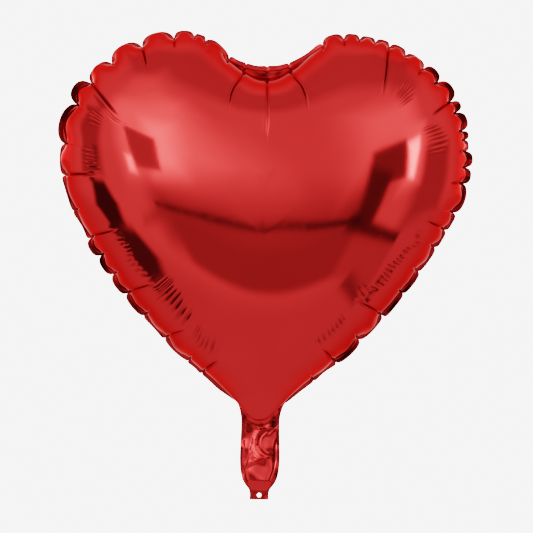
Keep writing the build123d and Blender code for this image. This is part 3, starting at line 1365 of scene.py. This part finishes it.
@dataclass(frozen=True)
class RedFoil:
    """Metallised film printed with a clear red, dulled and finely crimped where it is welded, with shade
    painted into its colour.
    """

    colour: tuple[float, float, float] = (0.60, 0.064, 0.062)
    deep: tuple[float, float, float] = (0.57, 0.060, 0.058)
    # Painted shade: the colour that folds, creases, combs, the web, the margin and the tail's pockets are
    # darkened towards.
    shaded: tuple[float, float, float] = (0.10, 0.009, 0.008)
    edge_tint: tuple[float, float, float, float] = (0.82, 0.38, 0.37, 1.0)
    roughness: float = 0.075
    welded_roughness: float = 0.17
    crimp: float = 0.9 * MM
    relief: float = 0.03 * MM

    def material(self) -> bpy.types.Material:
        """Builds the material."""
        material, nodes = new_material("red_foil")
        place = nodes.place()
        welded = nodes.attribute("welded")
        shade = nodes.attribute("shade")
        cloud = nodes.noise(place, 14.0, 3.0)
        grain = nodes.noise(nodes.stretched(place, (1.0, 1.0, 0.25)), 700.0, 2.0, 0.6)
        scuff = nodes.noise(place, 120.0, 4.0, 0.6).step(0.45, 0.75)
        colour = nodes.mix(cloud.step(0.35, 0.7), (*self.colour, 1.0), (*self.deep, 1.0))
        # Painted shade: the mesh's shade attribute darkens the base colour towards the shaded colour.
        colour = nodes.mix(shade, colour, (*self.shaded, 1.0))
        rough = self.roughness + 0.02 * scuff + 0.012 * grain
        rough = rough + (self.welded_roughness - self.roughness) * welded
        bands = nodes.bands(place, "DIAGONAL", self.crimp, 0.6)
        height = 0.35 * grain + 0.25 * nodes.noise(place, 60.0, 2.0) * (1 - welded) + 2.2 * bands * welded
        nodes.surface({
            "Base Color": colour,
            "Metallic": 1.0,
            "Roughness": rough,
            "Specular Tint": self.edge_tint,
            "Normal": nodes.bumped(height, self.relief, 0.5),
        })
        return material


@dataclass(frozen=True)
class SealLayer:
    """The heat seal layer between the films: pale, waxy and slightly see-through."""

    colour: tuple[float, float, float] = (0.74, 0.60, 0.56)
    dull: tuple[float, float, float] = (0.66, 0.48, 0.45)
    depths: tuple[float, float, float] = (1.0 * MM, 0.8 * MM, 0.7 * MM)
    roughness: float = 0.42

    def material(self) -> bpy.types.Material:
        """Builds the material."""
        material, nodes = new_material("seal_layer")
        place = nodes.place()
        cloud = nodes.noise(place, 90.0, 3.0)
        bead = nodes.noise(place, 900.0, 2.0)
        nodes.surface({
            "Base Color": nodes.mix(cloud, (*self.colour, 1.0), (*self.dull, 1.0)),
            "Roughness": self.roughness + 0.12 * cloud,
            "Subsurface Weight": 0.2,
            "Subsurface Radius": self.depths,
            "Normal": nodes.bumped(bead, 0.05 * MM, 0.6),
        })
        return material


@dataclass(frozen=True)
class ValveFilm:
    """Thin clear film of the one-way valve, hazy where it has been creased."""

    colour: tuple[float, float, float] = (0.86, 0.89, 0.91)
    creased: tuple[float, float, float] = (0.95, 0.96, 0.97)
    clear: float = 0.30
    haze: float = 0.34

    def material(self) -> bpy.types.Material:
        """Builds the material."""
        material, nodes = new_material("valve_film")
        place = nodes.place()
        drawn = nodes.noise(nodes.stretched(place, (1.0, 1.0, 0.12)), 420.0, 3.0)
        creased = nodes.noise(place, 80.0, 4.0, 0.7).step(0.4, 0.75)
        edge = nodes.value("ShaderNodeLayerWeight", {}, {"Blend": 0.35}, "Facing")
        alpha = self.clear + self.haze * creased * 0.6 + 0.35 * edge
        nodes.surface({
            "Base Color": nodes.mix(creased, (*self.colour, 1.0), (*self.creased, 1.0)),
            "Roughness": 0.12 + 0.2 * creased,
            "Alpha": alpha,
            "Normal": nodes.bumped(drawn + creased, 0.06 * MM, 0.6),
        })
        return material


@dataclass(frozen=True)
class ValveWeld:
    """The valve's side welds: two clear films pressed together by a ribbed bar."""

    colour: tuple[float, float, float] = (0.80, 0.83, 0.85)
    pressed: tuple[float, float, float] = (0.92, 0.94, 0.95)
    rib: float = 0.7 * MM

    def material(self) -> bpy.types.Material:
        """Builds the material."""
        material, nodes = new_material("valve_weld")
        place = nodes.place()
        ribs = nodes.bands(place, "Z", self.rib, 0.3)
        cloud = nodes.noise(place, 150.0, 3.0)
        nodes.surface({
            "Base Color": nodes.mix(ribs * 0.6 + cloud * 0.4, (*self.colour, 1.0), (*self.pressed, 1.0)),
            "Roughness": 0.28 + 0.18 * ribs,
            "Alpha": 0.62 + 0.2 * cloud,
            "Normal": nodes.bumped(ribs, 0.08 * MM, 0.7),
        })
        return material


@dataclass
class Balloon:
    """The whole balloon: two films, the seal between them and the valve inside.

    Attributes:
        neck_corner: half the width of the margin's edge that runs on into the tail.
        fold_reach: how far above and below the fold the film bends; not used.
        seal_half: half the seal layer's thickness; the other seal sizes are how far it stops short.
    """

    weld: Weld
    tail: Tail
    neck_corner: float = 22 * MM
    fold_reach: float = 3.6 * MM
    seal_half: float = 0.1 * MM
    seal_end: float = 0.4 * MM
    seal_inset: float = 0.25 * MM
    seal_rows: int = 90
    hole_rim: float = 0.6 * MM

    def neck_columns(self, outer: Array) -> Array:
        """Numbers of the columns that run on into the tail, from right to left."""
        return np.flatnonzero((np.abs(outer[:, 0]) < self.neck_corner) & (outer[:, 2] < NECK_TOP))

    def film(self, side: Side, combs: list[Comb]) -> bpy.types.Object:
        """One film as a single sheet.

        Args:
            side: front or rear.
            combs: its rows of fine ridges.

        Returns:
            The piece.
        """
        part = Film(self.weld, side, combs)
        rows, shade = part.heart_rows()
        steps = np.arange(1, part.margin_rows + 1) / part.margin_rows
        margin = part.margin(part.seam(rows), part.leaf_gap, steps)
        neck = self.neck_columns(margin[-1])
        below = self.tail.rows(margin[-1][neck], side)
        away = self.tail.hole_distance(below)
        near = away < self.tail.hole_radius
        pull = np.where(near, self.tail.hole_radius / np.maximum(away, 0.05 * MM), 1.0)
        hole_z = self.tail.bottom + self.tail.hole_rise
        below[..., 0] *= pull
        below[..., 2] = hole_z + (below[..., 2] - hole_z) * pull

        sheet = Sheet()
        heart = sheet.add(rows, 0.0, shade)
        edge = sheet.add(margin, 1.0, part.margin_shade())
        crown = rows[-1].mean(0)
        crown[1] = side.value * abs(rows[-1][:, 1]).max()
        centre = int(sheet.add(crown[None, None])[0, 0])
        tail = sheet.add(below, 0.0, self.tail.shade(below[..., 0], below[..., 2], side))
        sheet.skin(np.concatenate([edge[::-1], heart]), closed=True)
        sheet.fan(heart[-1], centre)
        strip = np.concatenate([edge[-1:, neck], tail])
        inside = np.concatenate([np.zeros((1, len(neck)), bool), near])
        sheet.skin(strip, left_out=inside)
        return sheet.finish(f"{side.name.lower()}_foil", (0.0, side.value, 0.0))

    def rim_seal(self) -> bpy.types.Object:
        """The pale seal layer that joins the films round the heart, open at the neck."""
        part = Film(self.weld, Side.FRONT, FRONT_COMBS)
        middle = part.seam(part.heart_rows()[0])
        shares = np.array([0.0, 0.33, 0.66, 0.97])
        front = part.margin(middle, self.seal_half, shares)
        rear = part.margin(middle, -self.seal_half, shares)
        outer = front[-1]
        shut = np.ones(len(outer), bool)
        shut[self.neck_columns(outer)] = False
        first = int(np.flatnonzero(~shut)[-1]) + 1
        order = (np.arange(int(shut.sum())) + first) % len(outer)
        order = order[shut[order]]
        sheet = Sheet()
        sheet.layer(front[:, order], rear[:, order])
        return sheet.finish("rim_seal")

    def tail_seal(self, hand: int) -> bpy.types.Object:
        """The seal strip along one side of the tail.

        Args:
            hand: 1 for the right side, -1 for the left.

        Returns:
            The piece.
        """
        tail = self.tail
        drop = np.linspace(tail.crease_gap, tail.crease - tail.bottom - self.seal_end, self.seal_rows)
        z = (tail.crease - drop)[None]
        half = tail.half_width(z)
        inward = np.linspace(self.seal_inset, tail.seal_width, 4)[:, None]
        x = hand * np.maximum(half - inward, tail.hole_radius + self.hole_rim)
        x, z = np.broadcast_arrays(x, z)
        middle = tail.middle(x, z)
        front, rear = (np.stack([x, middle + way * self.seal_half, z], -1) for way in (-1, 1))
        sheet = Sheet()
        sheet.layer(front, rear)
        return sheet.finish("tail_right_seal_layer" if hand > 0 else "tail_left_seal_layer")

    def build(self) -> None:
        """Builds and dresses every piece, and mounts the seals on their bodies."""
        foil, layer = RedFoil().material(), SealLayer().material()
        for side, combs in ((Side.FRONT, FRONT_COMBS), (Side.REAR, REAR_COMBS)):
            piece = self.film(side, combs)
            piece.data.materials.append(foil)
            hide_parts(f"{side.name.lower()}_foil_panel", f"tail_{side.name.lower()}_foil")
            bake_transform(piece)
        seals = ((self.rim_seal(), "envelope", "rim_heat_seal"),
                 (self.tail_seal(1), "tail", "tail_right_seal"),
                 (self.tail_seal(-1), "tail", "tail_left_seal"))
        for piece, body, node in seals:
            piece.data.materials.append(layer)
            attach(piece, body)
            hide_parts(node)
        self.dress_valve()

    def dress_valve(self) -> None:
        """Gives the valve's own CAD pieces their clear film and weld finishes."""
        film, weld = ValveFilm().material(), ValveWeld().material()
        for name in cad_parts:
            if not name.startswith("valve"):
                continue
            node = bpy.data.objects[name]
            node.data.materials.clear()
            node.data.materials.append(weld if name.endswith("weld") else film)
            LOG.info("%s: dressed", name)


@dataclass(frozen=True)
class Panel:
    """A soft box, a flag or a patch of wall, as the balloon sees it.

    Attributes:
        corners: degrees to the right of and above the line to the camera, going round.
        soft: degrees over which the edge fades.
        level: brightness.
    """

    corners: tuple[tuple[float, float], ...]
    soft: float
    level: float

    def edges(self) -> list[tuple[float, float, float]]:
        """Each side as a line: its inward normal and offset, in degrees."""
        middle = np.mean(self.corners, 0)
        lines = []
        for here, there in zip(self.corners, self.corners[1:] + self.corners[:1]):
            along = np.subtract(there, here)
            inward = np.array([-along[1], along[0]]) / np.hypot(*along)
            offset = -float(np.dot(inward, here))
            turn = 1.0 if np.dot(inward, middle) + offset > 0 else -1.0
            lines.append((turn * float(inward[0]), turn * float(inward[1]), turn * offset))
        return lines

    def mask(self, nodes: Nodes, seen: Value) -> Value:
        """Where the panel is seen.

        Args:
            nodes: the tree to add to.
            seen: degrees to the right and up, and 1, as a vector.

        Returns:
            1 inside the panel and 0 outside, with a soft edge.
        """
        inside: Value | None = None
        product = {"operation": "DOT_PRODUCT"}
        for line in self.edges():
            depth = nodes.value("ShaderNodeVectorMath", product, {0: seen, 1: line}, "Value")
            inside = depth if inside is None else inside.least(depth)
        return inside.step(-self.soft, self.soft)


# The room as the balloon sees it: broad walls, then bright soft boxes, then dark flags over them.
WALLS = (
    Panel(((-120, -30), (120, -30), (120, -105), (-120, -105)), 12, 0.70),
    Panel(((-60, 105), (70, 105), (60, 58), (-50, 62)), 10, 0.62),
    Panel(((-98, 55), (-73, 45), (-70, -5), (-98, -10)), 5, 0.46),
    Panel(((62, 18), (100, 25), (100, -35), (62, -30)), 8, 0.48),
    Panel(((-36, 2), (34, 2), (34, -20), (-34, -20)), 8, 0.46),
    Panel(((-27, -7), (30, -9), (34, -30), (-26, -23)), 3.0, 0.41),
    Panel(((30, -10), (66, -34), (66, -58), (30, -28)), 3, 0.55),
    Panel(((-172, 60), (-128, 70), (-128, 5), (-172, 10)), 10, 1.7),
    Panel(((128, 55), (160, 62), (166, -5), (130, -12)), 8, 1.6),
)
SOFT_BOXES = (
    Panel(((-48, 66), (-22, 68), (-12, 40), (-62, 40)), 12, 1.25),
    Panel(((-60, 46), (-14, 44), (-4, 8), (-46, 2)), 10, 2.0),
    Panel(((-34, 30), (-20, 28), (-18, 8), (-28, 6)), 7, 3.3),
    Panel(((-47, 10), (-43, 10), (-41, 3), (-45, 3)), 2.5, 5.0),
    Panel(((16, 36), (56, 56), (60, 24), (22, 8)), 12, 1.7),
    Panel(((44, 30), (66, 36), (64, -6), (50, -6)), 6, 1.8),
    Panel(((50, 19), (60, 23), (58, -2), (54, 0)), 2.4, 7.0),
)
FLAGS = (
    Panel(((-49, 28), (-28, 20), (-26, 6), (-40, 5)), 0.9, 0.60),
    Panel(((27, 15), (48, 21), (51, 0), (27, 0)), 1.5, 0.30),
    Panel(((27, 9), (41, 4), (38, -16), (26, -11)), 2.5, 0.17),
    Panel(((24, -6), (66, -31), (66, -36), (24, -11)), 1.5, 0.14),
    Panel(((42, -34), (66, -56), (64, -60), (40, -38)), 2, 0.28),
    Panel(((-34, -6.6), (-11, -2.4), (-11, -4.0), (-34, -8.6)), 0.6, 0.16),
    Panel(((-12, -2.5), (2, -0.2), (2, -1.6), (-12, -4.2)), 0.5, 0.12),
    Panel(((1, -0.3), (9, -3.2), (9, -4.8), (1, -1.7)), 0.5, 0.11),
    Panel(((8, -2.9), (30, -9.4), (30, -11.6), (8, -4.6)), 0.6, 0.10),
    Panel(((-30, -7), (-45, -17), (-47, -20), (-31, -10)), 2.5, 0.42),
    Panel(((-86, -13), (-72, -10), (-64, -20), (-66, -30), (-80, -41), (-92, -32)), 3, 0.10),
    Panel(((-75, -34), (-60, -28), (-50, -34), (-54, -45), (-68, -56), (-80, -48)), 3.5, 0.13),
    Panel(((72, -53), (84, -55), (82, -63), (72, -61)), 3, 0.18),
    Panel(((-80, 14), (-75, 12), (-76, 2), (-81, 4)), 3, 0.25),
)


@dataclass
class Studio:
    """Soft studio light, a pale floor and the camera.

    Attributes:
        room_level: brightness of the room between the panels.
        backdrop_level: brightness of the backdrop as the camera sees it.
        floor_drop: distance from the balloon's lowest point down to the floor.
        distance: from the camera to the balloon.
        frame_width: width that the camera takes in at the balloon.
        aim: place across and height that the camera looks at.
        roll: the balloon's slight lean in the frame.
    """

    room_level: float = 0.93
    backdrop_level: float = 2.3
    floor_drop: float = 0.55
    floor_size: float = 9.0
    floor_colour: tuple[float, float, float] = (0.82, 0.82, 0.81)
    floor_cloud: tuple[float, float, float] = (0.79, 0.79, 0.78)
    sensor: float = 36.0
    distance: float = 2.2
    frame_width: float = 0.4941
    aim: tuple[float, float] = (3.4 * MM, -57.0 * MM)
    roll: float = 0.93

    def light(self) -> None:
        """Surrounds the balloon with walls, soft boxes and flags."""
        world = bpy.data.worlds.new("studio")
        bpy.context.scene.world = world
        world.use_nodes = True
        nodes = Nodes(world.node_tree)
        way = nodes.value("ShaderNodeTexCoord", output="Generated")
        parts = nodes.add("ShaderNodeSeparateXYZ", {}, {0: way})
        x, y, z = (Value(nodes, socket) for socket in parts.outputs)
        turned = (y * -1.0).math("ARCCOSINE")
        scale = turned * math.degrees(1.0) / (x * x + z * z + 1e-8) ** 0.5
        seen = nodes.value("ShaderNodeCombineXYZ", {}, {0: x * scale, 1: z * scale, 2: 1.0})
        level: Value | float = self.room_level
        for panel in WALLS + SOFT_BOXES + FLAGS:
            level = panel.mask(nodes, seen) * (panel.level - level) + level
        camera_ray = nodes.value("ShaderNodeLightPath", output="Is Camera Ray")
        level = camera_ray * (self.backdrop_level - level) + level
        sockets = {"Color": (1.0, 1.0, 1.0, 1.0), "Strength": level}
        background = nodes.value("ShaderNodeBackground", {}, sockets)
        nodes.add("ShaderNodeOutputWorld", {}, {"Surface": background})

    def floor(self) -> None:
        """Lays the pale floor."""
        low, _ = CAD_BOX
        height = low[2] - self.floor_drop
        half = self.floor_size / 2
        mesh = bpy.data.meshes.new("floor")
        corners = [(x, y, height) for x, y in ((-half, -half), (half, -half), (half, half), (-half, half))]
        mesh.from_pydata(corners, [], [(0, 1, 2, 3)])
        material, nodes = new_material("floor")
        cloud = nodes.noise(nodes.place(), 1.5, 3.0)
        colour = nodes.mix(cloud, (*self.floor_colour, 1.0), (*self.floor_cloud, 1.0))
        nodes.surface({"Base Color": colour, "Roughness": 0.7 + 0.1 * cloud})
        mesh.materials.append(material)
        floor = bpy.data.objects.new("floor", mesh)
        bpy.context.scene.collection.objects.link(floor)
        floor.visible_glossy = False

    def camera(self) -> None:
        """Sets up the camera, square on to the front and rolled by the slight lean of the balloon."""
        lens = bpy.data.cameras.new("camera")
        lens.sensor_width = self.sensor
        lens.lens = self.sensor * self.distance / self.frame_width
        camera = bpy.data.objects.new("camera", lens)
        camera.location = (self.aim[0], -self.distance, self.aim[1])
        camera.rotation_euler = Euler((math.pi / 2, math.radians(-self.roll), 0))
        bpy.context.scene.collection.objects.link(camera)
        bpy.context.scene.camera = camera

    def build(self) -> None:
        """Builds the studio."""
        scene = bpy.context.scene
        scene.view_settings.view_transform = "Filmic"
        scene.view_settings.look = "Very High Contrast"
        self.light()
        self.floor()
        self.camera()


def main() -> None:
    """Builds the balloon and the studio."""
    logging.basicConfig(level=logging.INFO, format="%(name)s: %(message)s")
    weld = Weld(Heart(), RIGHT_CREASES + LEFT_CREASES, FRONT_COMBS + REAR_COMBS)
    Balloon(weld, Tail()).build()
    Studio().build()


if __name__ == "__main__":
    main()
